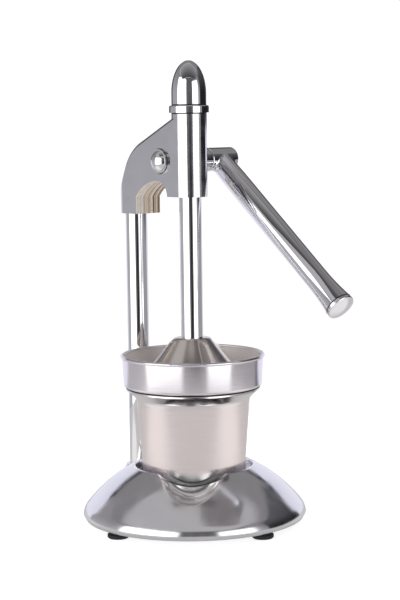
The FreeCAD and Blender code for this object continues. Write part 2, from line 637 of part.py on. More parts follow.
def head_screw_blank(extra):
    """Grub screw through the leg's back, which locks the column."""
    start = COLUMN_AXIS + Vector(0, COLUMN_RADIUS, LEG_BOTTOM + HEAD_SCREW_RISE)
    return Part.makeCylinder(SET_SCREW_RADIUS, LEG_WALL + extra, start, Y_AXIS)


def head_set_screw():
    screw = head_screw_blank(-SET_SCREW_SHORT)
    outer_end = COLUMN_AXIS + Vector(0, LEG_RADIUS - SET_SCREW_SHORT, LEG_BOTTOM + HEAD_SCREW_RISE)
    return screw.cut(hexagon_prism(HEX_SOCKET, HEX_SOCKET_DEPTH, outer_end, -Y_AXIS))


def guide_bush(length, top):
    return ring_z(BUSH_SEAT_RADIUS, ROD_RADIUS + ROD_RUNNING_FIT, top - length, top)


def lower_guide_bush():
    return guide_bush(LOWER_GUIDE_LENGTH, LOWER_GUIDE_TOP)


def upper_guide_bush():
    return guide_bush(UPPER_GUIDE_LENGTH, UPPER_GUIDE_TOP)


def top_cap():
    """Bullet cap: collar on the tube's end, spigot inside it, elliptical dome."""
    collar_top = TUBE_TOP + COLLAR_HEIGHT
    spigot_low = TUBE_TOP - CAP_SPIGOT_LENGTH
    outer = half_ellipsoid(CAP_RADIUS, CAP_DOME_RISE)
    inner = half_ellipsoid(CAP_RADIUS - CAP_WALL, CAP_DOME_RISE - CAP_WALL)
    skin = turn((0, spigot_low), ((BUSH_SEAT_RADIUS, spigot_low),), ((BUSH_SEAT_RADIUS, TUBE_TOP),),
                ((COLLAR_RADIUS, TUBE_TOP),), ((COLLAR_RADIUS, collar_top - COLLAR_BEVEL),),
                ((COLLAR_RADIUS - COLLAR_BEVEL, collar_top),), ((CAP_RADIUS, collar_top),),
                ((CAP_RADIUS, CAP_SHOULDER),), ((0, CAP_SHOULDER),))
    room = rod_z(ROD_RADIUS + CAP_ROD_ROOM, 0, CAP_SHOULDER)
    return skin.fuse(outer).cut(room.fuse(inner)).removeSplitter()


def half_ellipsoid(radius, rise):
    """Solid half ellipsoid on the cap's shoulder."""
    points = [(radius * math.cos(a), CAP_SHOULDER + rise * math.sin(a))
              for a in (math.radians(90 * i / CAP_STEPS) for i in range(CAP_STEPS + 1))]
    curve = Part.BSplineCurve()
    curve.interpolate([Vector(p[0], 0, p[1]) for p in points],
                      InitialTangent=Vector(0, 0, 1), FinalTangent=Vector(-1, 0, 0))
    top = Vector(0, 0, CAP_SHOULDER + rise)
    foot_centre = Vector(0, 0, CAP_SHOULDER)
    wire = Part.Wire([curve.toShape(), Part.makeLine(top, foot_centre),
                      Part.makeLine(foot_centre, Vector(radius, 0, CAP_SHOULDER))])
    return Part.Face(wire).revolve(ORIGIN, Z_AXIS, 360)


# ---- rack and pinion ----------------------------------------------------------------------
def flank_angle(radius, half_thickness):
    """Angle from a tooth's middle to its flank at `radius`."""
    base = PITCH_RADIUS * math.cos(math.radians(PRESSURE_ANGLE))
    pressure = math.acos(min(1.0, base / max(radius, base)))
    pitch_pressure = math.radians(PRESSURE_ANGLE)
    involute = math.tan(pressure) - pressure
    pitch_involute = math.tan(pitch_pressure) - pitch_pressure
    return half_thickness / PITCH_RADIUS + pitch_involute - involute


def pinion_gear():
    """Spur pinion. One tooth points along -Y at rest, into a gap of the rack."""
    half_thickness = (RACK_PITCH / 2 - BACKLASH) / 2
    radii = [PINION_ROOT + (PINION_TIP - PINION_ROOT) * i / FLANK_STEPS for i in range(FLANK_STEPS + 1)]
    flank = [(flank_angle(r, half_thickness), r) for r in radii]
    corners = []
    for tooth in range(PINION_TEETH):
        middle = math.pi + 2 * math.pi * tooth / PINION_TEETH
        for angle, radius in [(-a, r) for a, r in flank] + [(a, r) for a, r in reversed(flank)]:
            corners.append(Vector(-PINION_WIDTH / 2, radius * math.cos(middle + angle),
                                  radius * math.sin(middle + angle)))
    corners.append(corners[0])
    gear = Part.Face(Part.makePolygon(corners)).extrude(Vector(PINION_WIDTH, 0, 0))
    gear.translate(SHAFT_CENTRE)
    return gear.cut([rod_x(SHAFT_RADIUS, -PINION_WIDTH, PINION_WIDTH), pinion_pin()])


def pinion_pin():
    """Pin through pinion and shaft, square to both, between two tooth gaps."""
    reach = PINION_ROOT - PIN_SHORT
    return Part.makeCylinder(PIN_RADIUS, 2 * reach, SHAFT_CENTRE - Vector(0, 0, reach), Z_AXIS)


def rack_gap(height):
    """Space between two rack teeth, as a cutter across the rod."""
    lean = math.tan(math.radians(PRESSURE_ANGLE))
    root = RACK_LINE - DEDENDUM_FACTOR * MODULE
    outside = ROD_RADIUS + MODULE
    half = (RACK_PITCH / 2 + BACKLASH) / 2
    low = half - (RACK_LINE - root) * lean
    high = half + (outside - RACK_LINE) * lean
    face = wire_through((root, height - low), [((outside, height - high),), ((outside, height + high),),
                                               ((root, height + low),)],
                        lambda p: Vector(-ROD_RADIUS, p[0], p[1]))
    return face.extrude(Vector(2 * ROD_RADIUS, 0, 0))


def rack_rod():
    """Round rod with teeth cut in its rear side, a rounded nose and a stud for the presser."""
    rod = turn((0, PRESSER_TOP), ((ROD_RADIUS, PRESSER_TOP),), ((ROD_RADIUS, ROD_TOP - ROD_NOSE),),
               (round_corner(ROD_RADIUS, ROD_TOP, ROD_NOSE), (ROD_RADIUS - ROD_NOSE, ROD_TOP)),
               ((0, ROD_TOP),))
    stud = rod_z(ROD_STUD_RADIUS, PRESSER_TOP - ROD_STUD_LENGTH, PRESSER_TOP)
    first = -math.floor(RACK_BELOW / RACK_PITCH)
    last = math.floor(RACK_ABOVE / RACK_PITCH)
    gaps = [rack_gap(SHAFT_HEIGHT + i * RACK_PITCH) for i in range(first, last + 1)]
    return rod.fuse(stud).cut(gaps)


# ---- shaft, bushes and housing ------------------------------------------------------------
def pinion_shaft():
    """Shaft through head, pinion and lever hub, with a stud for the cap nut."""
    nut_seat = -FACE_X - NUT_GAP
    shaft = rod_x(SHAFT_RADIUS, nut_seat, HUB_BORE_END)
    stud = rod_x(NUT_STUD_RADIUS, nut_seat - NUT_BITE, nut_seat)
    return shaft.fuse(stud).cut(pinion_pin())


def shaft_cap_nut():
    """Domed nut with a round flange, on the shaft's end."""
    seat = -FACE_X - NUT_GAP
    flange_face = seat - NUT_FLANGE
    flange_radius = SHAFT_BUSH_RADIUS + NUT_FLANGE_OVERLAP
    crown_radius = flange_radius - NUT_DOME_INSET
    ball_radius = (crown_radius ** 2 + NUT_DOME_HEIGHT ** 2) / (2 * NUT_DOME_HEIGHT)
    ball = Part.makeSphere(ball_radius, SHAFT_CENTRE + Vector(flange_face - NUT_DOME_HEIGHT + ball_radius, 0, 0))
    crown = ball.common(rod_x(flange_radius, flange_face - 2 * NUT_DOME_HEIGHT, flange_face))
    nut = rod_x(flange_radius, flange_face, seat).fuse(crown)
    return nut.cut(rod_x(NUT_STUD_RADIUS, seat - NUT_BITE, seat)).removeSplitter()


def shaft_bush(start, end):
    return ring_x(SHAFT_BUSH_RADIUS, SHAFT_RADIUS + SHAFT_RUNNING_FIT, start, end)


def left_shaft_bush():
    return shaft_bush(-FACE_X, -CAVITY_HALF)


def right_shaft_bush():
    return shaft_bush(CAVITY_HALF, HOUSING_END)


def shaft_housing():
    """Flanged sleeve: its spigot closes the pinion's cavity and its nose carries the lever side."""
    sleeve = rod_x(CAVITY_RADIUS, CAVITY_HALF, FACE_X)
    sleeve = sleeve.fuse([rod_x(HOUSING_FLANGE_RADIUS, FACE_X, FACE_X + HOUSING_FLANGE),
                          rod_x(HOUSING_RADIUS, FACE_X, HOUSING_END)])
    passing_rod = rod_z(TUBE_BORE, 0, OVERALL_HEIGHT)
    return sleeve.cut([rod_x(SHAFT_BUSH_RADIUS, 0, HOUSING_END), passing_rod]).removeSplitter()


def lever_washer():
    start = HOUSING_END + WASHER_GAP
    return ring_x(HOUSING_RADIUS, SHAFT_RADIUS, start, start + WASHER_THICKNESS)


# ---- lever --------------------------------------------------------------------------------
def along_arm(shape):
    """Place a shape built along +Z from the shaft's axis so that it lies along the arm."""
    placed = shape.copy()
    placed.Placement = FreeCAD.Placement(SHAFT_CENTRE + Vector(ARM_X, 0, 0),
                                         FreeCAD.Rotation(X_AXIS, 90 + LEVER_DROP))
    return placed


def arm_solid(inset, start):
    """Tube that swells from its root and flares at its end."""
    root = (ARM_ROOT_RADIUS - inset, start)
    swell_end = (ARM_RADIUS - inset, ARM_SWELL_END)
    flare_start = (ARM_RADIUS - inset, ARM_FLARE_START)
    end = (ARM_END_RADIUS - inset, ARM_LENGTH)
    return turn((0, start), (root,), (bulge_point(root, swell_end, -ARM_SWELL_BULGE), swell_end),
                (flare_start,), (bulge_point(flare_start, end, ARM_FLARE_HOLLOW), end), ((0, ARM_LENGTH),))


def lever_arm():
    """Hub across the shaft with the hollow arm grown out of it."""
    hub = rod_x(HUB_RADIUS, HUB_START, HUB_START + HUB_LENGTH)
    hub = hub.makeFillet(HUB_ROUNDING, [e for e in hub.Edges if e.BoundBox.XLength < HUB_ROUNDING])
    lever = hub.fuse(along_arm(arm_solid(0, 0)))
    lever = lever.cut([rod_x(SHAFT_RADIUS, 0, HUB_BORE_END), along_arm(arm_solid(ARM_WALL, ARM_BORE_START)),
                       along_arm(rod_z(SET_SCREW_RADIUS, -HUB_RADIUS, -SHAFT_RADIUS))])
    return lever.makeFillet(ARM_FILLET, [e for e in lever.Edges if is_arm_root(e)]).removeSplitter()


def is_arm_root(edge):
    """The edge where the arm's outside leaves the hub."""
    middle = edge.valueAt((edge.FirstParameter + edge.LastParameter) / 2)
    from_axis = math.hypot(middle.y - SHAFT_OFFSET, middle.z - SHAFT_HEIGHT)
    on_hub = abs(from_axis - HUB_RADIUS) < ARM_ROOT_INSET
    below = middle.y < SHAFT_OFFSET and middle.z < SHAFT_HEIGHT
    return on_hub and below and edge.BoundBox.XLength > HUB_RADIUS / 2 and edge.Length > ARM_ROOT_RADIUS


def lever_set_screw():
    end = -HUB_RADIUS + SET_SCREW_SHORT
    screw = rod_z(SET_SCREW_RADIUS, end, -SHAFT_RADIUS)
    return along_arm(screw.cut(hexagon_prism(HEX_SOCKET, HEX_SOCKET_DEPTH, Vector(0, 0, end), Z_AXIS)))


def lever_end_plug():
    """Domed plug with a spigot inside the tube's flare."""
    start = ARM_LENGTH + PLUG_GAP
    rim = start + PLUG_RIM
    neck = ARM_END_RADIUS - ARM_WALL
    crown_edge = ARM_END_RADIUS - PLUG_ROUNDING
    sleeve = rod_z(ARM_END_RADIUS, ARM_LENGTH - PLUG_SPIGOT, ARM_LENGTH)
    spigot = arm_solid(ARM_WALL, ARM_BORE_START).common(sleeve)
    knob = turn((0, ARM_LENGTH - PLUG_GAP), ((neck, ARM_LENGTH),), ((neck, start),), ((ARM_END_RADIUS, start),),
                ((ARM_END_RADIUS, rim - PLUG_ROUNDING),),
                (round_corner(ARM_END_RADIUS, rim, PLUG_ROUNDING), (crown_edge, rim)),
                (crown_point(crown_edge, rim, PLUG_CROWN), (0, rim + PLUG_CROWN)))
    return along_arm(knob.fuse(spigot).removeSplitter())


# ---- presser ------------------------------------------------------------------------------
def presser_side(inset):
    """Hollow arc of the cone's side, `inset` under its ribs: its upper end, middle and lower end."""
    steep = math.radians(PRESSER_SLOPE + PRESSER_SWEEP)
    flat = math.radians(PRESSER_SLOPE - PRESSER_SWEEP)
    crown_start = ROD_RADIUS + CROWN_LAND
    shoulder = (crown_start + (CROWN_ROUNDING - inset) * math.sin(steep),
                PRESSER_TOP - CROWN_ROUNDING + (CROWN_ROUNDING - inset) * math.cos(steep))
    outer_shoulder = (crown_start + CROWN_ROUNDING * math.sin(steep),
                      PRESSER_TOP - CROWN_ROUNDING * (1 - math.cos(steep)))
    run = PRESSER_RADIUS - outer_shoulder[0]
    foot_height = outer_shoulder[1] - run * math.tan(math.radians(PRESSER_SLOPE))
    foot_end = (PRESSER_RADIUS - inset * math.sin(flat), foot_height - inset * math.cos(flat))
    rise = math.dist(shoulder, foot_end) / 2 * math.tan(math.radians(PRESSER_SWEEP / 2))
    return shoulder, bulge_point(shoulder, foot_end, -rise), foot_end


def presser_sink(inset, height):
    """Straight upward run of the inset side: its radius at a height over the shoulder."""
    shoulder = presser_side(inset)[0]
    return shoulder[0] - (height - shoulder[1]) / math.tan(math.radians(PRESSER_SLOPE + PRESSER_SWEEP))


def presser():
    """Cone shell with a crowned top, four broad facets and the raised ribs left between them."""
    shoulder, middle, end = presser_side(0)
    crown_start = ROD_RADIUS + CROWN_LAND
    half_steep = math.radians((PRESSER_SLOPE + PRESSER_SWEEP) / 2)
    crown_middle = (crown_start + CROWN_ROUNDING * math.sin(half_steep),
                    PRESSER_TOP - CROWN_ROUNDING * (1 - math.cos(half_steep)))
    low = end[1] - PRESSER_SKIRT
    body = turn((0, low), ((end[0], low),), (end,), (middle, shoulder),
                (crown_middle, (crown_start, PRESSER_TOP)), ((0, PRESSER_TOP),))
    facets = around(presser_facet(), RIB_COUNT, RIB_TURN + RIB_WIDTH / 2)
    return body.cut(facets + [presser_hollow(), rod_z(ROD_STUD_RADIUS, 0, OVERALL_HEIGHT)]).removeSplitter()


def presser_facet():
    """Cutter between two ribs, from the first rib's edge on."""
    shoulder, middle, end = presser_side(FACET_DEPTH)
    high = PRESSER_TOP + PRESSER_SKIRT
    low = end[1] - 2 * PRESSER_SKIRT
    outside = PRESSER_RADIUS + PRESSER_SKIRT
    return turn((presser_sink(FACET_DEPTH, high), high), (shoulder,), (middle, end), ((end[0], low),),
                ((outside, low),), ((outside, high),), angle=360 / RIB_COUNT - RIB_WIDTH)


def presser_hollow():
    shoulder, middle, end = presser_side(PRESSER_WALL)
    roof = PRESSER_TOP - CROWN_WALL
    low = end[1] - 2 * PRESSER_SKIRT
    return turn((0, low), ((end[0], low),), (end,), (middle, shoulder),
                ((presser_sink(PRESSER_WALL, roof), roof),), ((0, roof),))


def presser_washer():
    roof = PRESSER_TOP - CROWN_WALL
    return ring_z(PRESSER_WASHER_RADIUS, ROD_STUD_RADIUS, roof - PRESSER_WASHER_HEIGHT, roof)


def presser_nut():
    low = PRESSER_TOP - CROWN_WALL - PRESSER_WASHER_HEIGHT - PRESSER_NUT_HEIGHT
    nut = hexagon_prism(PRESSER_NUT_FLATS, PRESSER_NUT_HEIGHT, Vector(0, 0, low), Z_AXIS)
    return nut.cut(rod_z(ROD_STUD_RADIUS, PRESSER_TOP - ROD_STUD_LENGTH, PRESSER_TOP))


# ---- cup and strainer ---------------------------------------------------------------------
def cup_body(inset, floor, top):
    """Solid of the cup's inside or outside: corner, taper, curved neck and flare up to the rim."""
    neck, bend_middle, bend_end = cup_bend(inset)
    corner = CUP_CORNER - inset
    foot_top = (cup_radius(floor + corner) - inset, floor + corner)
    return turn((0, floor), ((foot_top[0] - corner, floor),),
                ((foot_top[0] - corner * (1 - DIAGONAL), floor + corner * (1 - DIAGONAL)), foot_top),
                (neck,), (bend_middle, bend_end), ((cup_mouth(inset, top), top),), ((0, top),))


def juice_cup():
    """Tapered sheet cup with a flared mouth and a rolled rim."""
    rim_low = CUP_TOP - CUP_RIM_HEIGHT
    outside = cup_body(0, SEAT_HEIGHT, rim_low)
    inside = cup_body(CUP_WALL, SEAT_HEIGHT + CUP_WALL, CUP_TOP)
    bevel = CUP_RIM_RADIUS - CUP_RIM_EDGE
    rim = turn((CUP_MOUTH_RADIUS, rim_low), ((bevel, rim_low),), ((CUP_RIM_RADIUS, rim_low + CUP_RIM_EDGE),),
               ((CUP_RIM_RADIUS, CUP_TOP - CUP_RIM_EDGE),), ((bevel, CUP_TOP),), ((CUP_MOUTH_RADIUS, CUP_TOP),))
    return outside.cut(inside).fuse(rim).removeSplitter()


def strainer_bowl():
    """Sheet bowl: rolled rim, upright band, ledge on the cup's rim, floor ring nested in the cup."""
    ledge_top = CUP_TOP + BOWL_WALL
    floor_under = BOWL_FLOOR - BOWL_WALL
    bead = BOWL_RIM_TOP - BOWL_RIM_BEAD
    corner_start = (BOWL_BOTTOM_RADIUS - BOWL_CORNER, CUP_TOP)
    corner_middle = (BOWL_BOTTOM_RADIUS - BOWL_CORNER * (1 - DIAGONAL), CUP_TOP + BOWL_CORNER * (1 - DIAGONAL))
    corner_end = (BOWL_BOTTOM_RADIUS, CUP_TOP + BOWL_CORNER)
    inner_corner = BOWL_BOTTOM_RADIUS - BOWL_WALL
    bowl = turn((BOWL_OPENING_RADIUS, floor_under), ((BOWL_FLOOR_RADIUS, floor_under),),
                ((BOWL_LEDGE_RADIUS, CUP_TOP),), (corner_start,), (corner_middle, corner_end),
                ((BOWL_TOP_RADIUS, bead),), ((BOWL_TOP_RADIUS - BOWL_WALL, bead),),
                ((inner_corner, corner_end[1]),), ((corner_start[0], ledge_top),),
                ((BOWL_LEDGE_RADIUS - BOWL_WALL / 2, ledge_top),),
                ((BOWL_FLOOR_RADIUS, BOWL_FLOOR),), ((BOWL_OPENING_RADIUS, BOWL_FLOOR),))
    rim = Part.makeTorus(BOWL_TOP_RADIUS, BOWL_RIM_BEAD, Vector(0, 0, bead), Z_AXIS)
    return bowl.fuse(rim).removeSplitter()


def cone_side():
    """Angle of the reamer cone's side."""
    return math.atan2(CONE_RISE - CONE_SHEET, CONE_BASE_RADIUS - CONE_TOP_RADIUS)


def strainer_cone():
    """Reamer cone with ribs and slits on a perforated drain plate, loose in the bowl."""
    flange_radius = BOWL_FLOOR_RADIUS - CONE_FLANGE_GAP
    plate_top = BOWL_FLOOR + CONE_SHEET
    side = cone_side()
    tangent = CONE_TIP_ROUNDING * math.tan(side / 2)
    tip_start = (CONE_TOP_RADIUS + tangent * math.cos(side), CONE_TOP - tangent * math.sin(side))
    tip_middle = (CONE_TOP_RADIUS - tangent + CONE_TIP_ROUNDING * math.sin(side / 2),
                  CONE_TOP - CONE_TIP_ROUNDING * (1 - math.cos(side / 2)))
    outer = turn((0, BOWL_FLOOR), ((flange_radius, BOWL_FLOOR),), ((flange_radius, plate_top),),
                 ((CONE_BASE_RADIUS, plate_top),), (tip_start,),
                 (tip_middle, (CONE_TOP_RADIUS - tangent, CONE_TOP)), ((0, CONE_TOP),))
    outer = outer.fuse(around(cone_rib(plate_top), CONE_RIBS))
    roof = CONE_TOP - CONE_SHEET
    across = CONE_SHEET / math.sin(side)
    roof_radius = CONE_TOP_RADIUS + CONE_SHEET / math.tan(side) - across
    foot_radius = CONE_BASE_RADIUS + CONE_SHEET / math.tan(side) - across
    inner = turn((0, BOWL_FLOOR), ((foot_radius, BOWL_FLOOR),), ((roof_radius, roof),), ((0, roof),))
    drain_radius = (CONE_BASE_RADIUS + BOWL_OPENING_RADIUS) / 2
    hole = rod_z(DRAIN_HOLE_RADIUS, BOWL_FLOOR, plate_top, Vector(drain_radius, 0, 0))
    slit_low = plate_top + SLIT_FOOT
    slit = Part.makeBox(CONE_BASE_RADIUS, SLIT_WIDTH, CONE_TOP - SLIT_TOP - slit_low,
                        Vector(CONE_TOP_RADIUS, -SLIT_WIDTH / 2, slit_low))
    drains = around(hole, DRAIN_HOLES, 180 / DRAIN_HOLES)
    slits = around(slit, CONE_RIBS, 180 / CONE_RIBS)
    return outer.cut([inner] + drains + slits).removeSplitter()


def cone_rib(plate_top):
    """One reamer rib: a thin wedge standing proud of the cone."""
    rib = turn((0, plate_top), ((CONE_BASE_RADIUS + CONE_RIB_PROUD, plate_top),),
               ((CONE_TOP_RADIUS + CONE_RIB_PROUD, CONE_TOP),), ((0, CONE_TOP),), angle=CONE_RIB_WIDTH)
    return rotate(rib, ORIGIN, Z_AXIS, -CONE_RIB_WIDTH / 2)


# ---- all pieces ---------------------------------------------------------------------------
PIECES = {
    "base_casting": base_casting, "foot_screws": foot_screws,
    "column": column, "column_insert": column_insert, "column_washer": column_washer,
    "column_bolt": column_bolt,
    "head_casting": head_casting, "head_set_screw": head_set_screw, "top_cap": top_cap,
    "lower_guide_bush": lower_guide_bush, "upper_guide_bush": upper_guide_bush,
    "left_shaft_bush": left_shaft_bush, "right_shaft_bush": right_shaft_bush,
    "shaft_housing": shaft_housing,
    "pinion_shaft": pinion_shaft, "pinion_gear": pinion_gear, "pinion_pin": pinion_pin,
    "shaft_cap_nut": shaft_cap_nut, "lever_washer": lever_washer,
    "lever_arm": lever_arm, "lever_end_plug": lever_end_plug, "lever_set_screw": lever_set_screw,
    "rack_rod": rack_rod, "presser": presser, "presser_washer": presser_washer, "presser_nut": presser_nut,
    "juice_cup": juice_cup, "strainer_bowl": strainer_bowl, "strainer_cone": strainer_cone,
}

os.makedirs("parts", exist_ok=True)
for name, make in PIECES.items():
    make().exportStep("parts/" + name + ".step")
for name, turn_angle in FEET.items():
    foot(turn_angle).exportStep("parts/" + name + ".step")
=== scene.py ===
"""Looks, studio and camera of the citrus press. Every visible piece is a node of the CAD frame.

Metres, in the frame of the CAD: press axis on Z, column at +Y, the lever's hub at +X.
"""

import math

import bmesh
import bpy
from mathutils import Matrix, Vector


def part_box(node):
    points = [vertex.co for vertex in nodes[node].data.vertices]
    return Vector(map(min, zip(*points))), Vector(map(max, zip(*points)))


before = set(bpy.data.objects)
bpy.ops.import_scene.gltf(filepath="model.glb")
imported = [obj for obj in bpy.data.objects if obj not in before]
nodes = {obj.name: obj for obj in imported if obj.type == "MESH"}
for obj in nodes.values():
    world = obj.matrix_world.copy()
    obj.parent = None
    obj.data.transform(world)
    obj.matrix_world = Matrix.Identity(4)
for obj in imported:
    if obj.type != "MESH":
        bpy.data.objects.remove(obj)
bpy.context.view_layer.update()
scene = bpy.context.scene


# ---- node helpers -----------------------------------------------------------------------
def new_material(name):
    material = bpy.data.materials.new(name)
    material.use_nodes = True
    tree = material.node_tree
    tree.nodes.clear()
    return material, tree


def feed(tree, value, socket):
    """Link the socket, or set it where value is a plain number or vector."""
    if isinstance(value, bpy.types.NodeSocket):
        tree.links.new(value, socket)
    else:
        socket.default_value = value


def maths(tree, operation, *values):
    node = tree.nodes.new("ShaderNodeMath")
    node.operation = operation
    for socket, value in zip(node.inputs, values):
        feed(tree, value, socket)
    return node.outputs[0]


def vector_maths(tree, operation, first, second):
    """Value or vector that a Vector Math node makes of two vectors."""
    node = tree.nodes.new("ShaderNodeVectorMath")
    node.operation = operation
    feed(tree, first, node.inputs[0])
    feed(tree, second, node.inputs[1])
    return node.outputs["Value" if operation in ("DOT_PRODUCT", "DISTANCE") else "Vector"]


def coordinates(tree, kind):
    return tree.nodes.new("ShaderNodeTexCoord").outputs[kind]


def split(tree, vector):
    """The X, Y and Z outputs of a vector."""
    node = tree.nodes.new("ShaderNodeSeparateXYZ")
    tree.links.new(vector, node.inputs[0])
    return node.outputs


def product(tree, *values):
    result = values[0]
    for value in values[1:]:
        result = maths(tree, "MULTIPLY", result, value)
    return result


def spread(tree, value, low, high, start=0.35, end=0.65, kind="LINEAR"):
    """Runs from low to high while value runs from start to end, and stays within them."""
    span = tree.nodes.new("ShaderNodeMapRange")
    span.interpolation_type = kind
    span.inputs["From Min"].default_value = start
    span.inputs["From Max"].default_value = end
    span.inputs["To Min"].default_value = low
    span.inputs["To Max"].default_value = high
    tree.links.new(value, span.inputs["Value"])
    return span.outputs["Result"]


def window(tree, value, low, high, edge):
    """1 between low and high, 0 outside, with soft ends."""
    return product(tree, spread(tree, value, 0.0, 1.0, low - edge, low + edge),
                   spread(tree, value, 1.0, 0.0, high - edge, high + edge))


def colour_ramp(tree, value, first, last, *between, kind="LINEAR"):
    """Colour by value. Each stop is a position and a colour."""
    ramp = tree.nodes.new("ShaderNodeValToRGB")
    ramp.color_ramp.interpolation = kind
    for element, (position, colour) in zip(ramp.color_ramp.elements, (first, last)):
        element.position = position
        element.color = (*colour, 1)
    for position, colour in between:
        ramp.color_ramp.elements.new(position).color = (*colour, 1)
    tree.links.new(value, ramp.inputs["Fac"])
    return ramp.outputs["Color"]


def by_ray(tree, for_metal, for_camera, out):
    """One shader for the camera's own rays and another for what the metal reflects."""
    path = tree.nodes.new("ShaderNodeLightPath")
    mix = tree.nodes.new("ShaderNodeMixShader")
    tree.links.new(path.outputs["Is Camera Ray"], mix.inputs["Fac"])
    tree.links.new(for_metal.outputs[0], mix.inputs[1])
    tree.links.new(for_camera.outputs[0], mix.inputs[2])
    tree.links.new(mix.outputs[0], out.inputs["Surface"])


# ---- camera -----------------------------------------------------------------------------
VIEW_AZIMUTH = -41.31         # degrees, from -Y towards -X
VIEW_DISTANCE = 1.3784
VIEW_HEIGHT = 0.3417
VIEW_PITCH = 6.30             # looks down
VIEW_YAW = -0.29
VIEW_ROLL = -0.80
LENS = 98.55                  # mm


def studio_matrix():
    """Studio axes: origin under the press, +X to the camera's right, -Y towards the camera."""
    return Matrix.Rotation(math.radians(VIEW_AZIMUTH), 4, "Z")


def add_camera():
    data = bpy.data.cameras.new("camera")
    data.lens = LENS
    data.sensor_width = 36.0
    data.clip_start = 0.05
    data.clip_end = 50
    camera = bpy.data.objects.new("camera", data)
    scene.collection.objects.link(camera)
    place = Matrix.Translation((0, -VIEW_DISTANCE, VIEW_HEIGHT))
    aim = (Matrix.Rotation(math.radians(VIEW_YAW), 4, "Z")
           @ Matrix.Rotation(math.radians(90 - VIEW_PITCH), 4, "X")
           @ Matrix.Rotation(math.radians(VIEW_ROLL), 4, "Z"))
    camera.matrix_world = studio_matrix() @ place @ aim
    scene.camera = camera


# ---- studio: glowing cards that the camera doesn't see ----------------------------------
def glow_material(name, bottom, top, soft, axes=("X", "Z")):
    """Emission that runs from one colour at the card's foot to another at its top.

    It fades out over the share `soft` of the card at the edges across the given axes.
    """
    material, tree = new_material(name)
    n, l = tree.nodes, tree.links
    out = n.new("ShaderNodeOutputMaterial")
    glow = n.new("ShaderNodeEmission")
    place = split(tree, coordinates(tree, "Generated"))
    l.new(colour_ramp(tree, place["Z"], (0.0, bottom), (1.0, top), kind="EASE"),
          glow.inputs["Color"])
    glow.inputs["Strength"].default_value = 1.0
    if not soft:
        l.new(glow.outputs[0], out.inputs["Surface"])
        return material
    # PINGPONG gives 0 at both edges and 0.5 in the middle; spread makes it 1 but for the edges
    inside = [spread(tree, maths(tree, "PINGPONG", place[axis], 0.5), 0.0, 1.0, 0.0, soft,
                     "SMOOTHSTEP") for axis in axes]
    mix = n.new("ShaderNodeMixShader")
    l.new(product(tree, *inside), mix.inputs["Fac"])
    l.new(n.new("ShaderNodeBsdfTransparent").outputs[0], mix.inputs[1])
    l.new(glow.outputs[0], mix.inputs[2])
    l.new(mix.outputs[0], out.inputs["Surface"])
    return material


def add_card(name, corners, material):
    """Flat studio card through four corners in studio axes. The camera doesn't see it."""
    mesh = bpy.data.meshes.new(name)
    mesh.from_pydata([studio_matrix() @ Vector(c) for c in corners], [], [(0, 1, 2, 3)])
    mesh.materials.append(material)
    card = bpy.data.objects.new(name, mesh)
    scene.collection.objects.link(card)
    card.visible_camera = False
    card.visible_shadow = False


def level_card(name, x, y, z_near, z_far, near_colour, far_colour, soft):
    """Card overhead, from x[0] to x[1] and from y[0] to y[1], which may slope along Y."""
    add_card(name, [(x[0], y[0], z_near), (x[1], y[0], z_near), (x[1], y[1], z_far),
                    (x[0], y[1], z_far)],
             glow_material(name, near_colour, far_colour, soft, ("X", "Y")))


def bearing(azimuth):
    """Outward and sideways directions. Azimuth 0 is at the camera, +90 to its right."""
    a = math.radians(azimuth)
    return Vector((math.sin(a), -math.cos(a), 0)), Vector((math.cos(a), math.sin(a), 0))


def standing_card(name, azimuth, distance, width, low, high, bottom, top, soft):
    """Upright card facing the press."""
    out, side = bearing(azimuth)
    centre, half = out * distance, side * width / 2
    foot, head = Vector((0, 0, low)), Vector((0, 0, high))
    add_card(name, [centre - half + foot, centre + half + foot, centre + half + head,
                    centre - half + head], glow_material(name, bottom, top, soft))


def lying_card(name, azimuth, near, far, width, colour):
    """Pool of light on the table, along one direction from the press."""
    out, side = bearing(azimuth)
    half, lift = side * width / 2, Vector((0, 0, 0.001))
    add_card(name, [out * near - half + lift, out * near + half + lift,
                    out * far + half + lift, out * far - half + lift],
             glow_material(name, colour, colour, 0.35, ("X", "Y")))


def add_world():
    """White for the camera. The metal sees grey, darker overhead, where no card stands."""
    world = bpy.data.worlds.new("world")
    world.use_nodes = True
    scene.world = world
    tree = world.node_tree
    tree.nodes.clear()
    out = tree.nodes.new("ShaderNodeOutputWorld")
    seen = tree.nodes.new("ShaderNodeBackground")
    seen.inputs["Color"].default_value = (1, 1, 1, 1)
    seen.inputs["Strength"].default_value = 1.05
    fill = tree.nodes.new("ShaderNodeBackground")
    level = split(tree, coordinates(tree, "Generated"))["Z"]
    tree.links.new(colour_ramp(tree, level, (0.0, (0.36, 0.35, 0.36)),
                               (0.35, (0.25, 0.24, 0.245))), fill.inputs["Color"])
    by_ray(tree, fill, seen, out)


